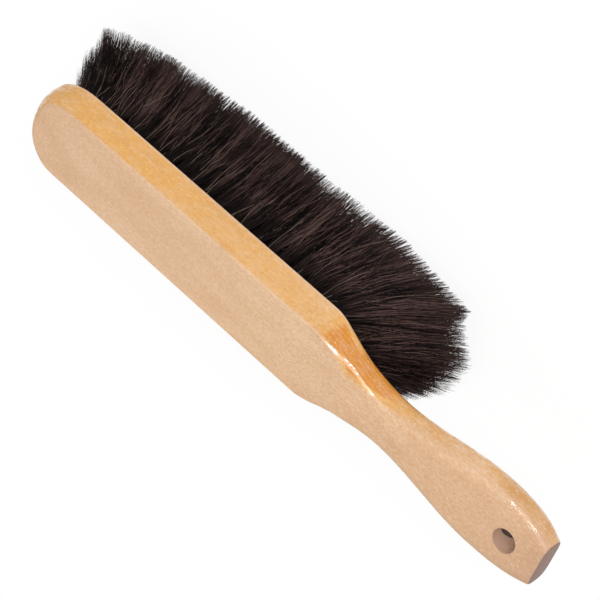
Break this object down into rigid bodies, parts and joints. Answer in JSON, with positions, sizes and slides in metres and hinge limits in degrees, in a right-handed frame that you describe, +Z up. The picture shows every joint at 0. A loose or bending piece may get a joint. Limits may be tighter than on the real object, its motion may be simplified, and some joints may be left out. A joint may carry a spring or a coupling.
{
  "type": "dusting brush",
  "caption": "Counter dusting brush: one-piece hardwood block and handle with a hang hole, set with a dense field of flared dark horsehair tufts.",
  "frame": {"origin": "centre of the footprint, on the plane of the trimmed hair ends that the brush stands on", "axes": "+Z up, along the flat back's normal; +X along the brush, from the rounded nose to the handle's end; +Y across it"},
  "size_m": [0.3762, 0.0856, 0.0749],
  "materials": {
    "lacquered_wood": "clear lacquer over pale fine-grained hardwood, satin on the flat back and glossy round the shoulder and handle edges",
    "horsehair": "near-black brown natural hair, soft sheen, browner at the ends"
  },
  "bodies": {
    "root": {"block_and_handle": "lacquered_wood", "tuft_row1_01": "horsehair", "tuft_row1_02": "horsehair", "tuft_row1_03": "horsehair", "tuft_row1_04": "horsehair", "tuft_row1_05": "horsehair", "tuft_row1_06": "horsehair", "tuft_row1_07": "horsehair", "tuft_row1_08": "horsehair", "tuft_row1_09": "horsehair", "tuft_row1_10": "horsehair", "tuft_row1_11": "horsehair", "tuft_row1_12": "horsehair", "tuft_row1_13": "horsehair", "tuft_row1_14": "horsehair", "tuft_row2_01": "horsehair", "tuft_row2_02": "horsehair", "tuft_row2_03": "horsehair", "tuft_row2_04": "horsehair", "tuft_row2_05": "horsehair", "tuft_row2_06": "horsehair", "tuft_row2_07": "horsehair", "tuft_row2_08": "horsehair", "tuft_row2_09": "horsehair", "tuft_row2_10": "horsehair", "tuft_row2_11": "horsehair", "tuft_row2_12": "horsehair", "tuft_row2_13": "horsehair", "tuft_row2_14": "horsehair", "tuft_row2_15": "horsehair", "tuft_row3_01": "horsehair", "tuft_row3_02": "horsehair", "tuft_row3_03": "horsehair", "tuft_row3_04": "horsehair", "tuft_row3_05": "horsehair", "tuft_row3_06": "horsehair", "tuft_row3_07": "horsehair", "tuft_row3_08": "horsehair", "tuft_row3_09": "horsehair", "tuft_row3_10": "horsehair", "tuft_row3_11": "horsehair", "tuft_row3_12": "horsehair", "tuft_row3_13": "horsehair", "tuft_row3_14": "horsehair", "tuft_row3_15": "horsehair", "tuft_row4_01": "horsehair", "tuft_row4_02": "horsehair", "tuft_row4_03": "horsehair", "tuft_row4_04": "horsehair", "tuft_row4_05": "horsehair", "tuft_row4_06": "horsehair", "tuft_row4_07": "horsehair", "tuft_row4_08": "horsehair", "tuft_row4_09": "horsehair", "tuft_row4_10": "horsehair", "tuft_row4_11": "horsehair", "tuft_row4_12": "horsehair", "tuft_row4_13": "horsehair", "tuft_row4_14": "horsehair"}
  },
  "joints": []
}
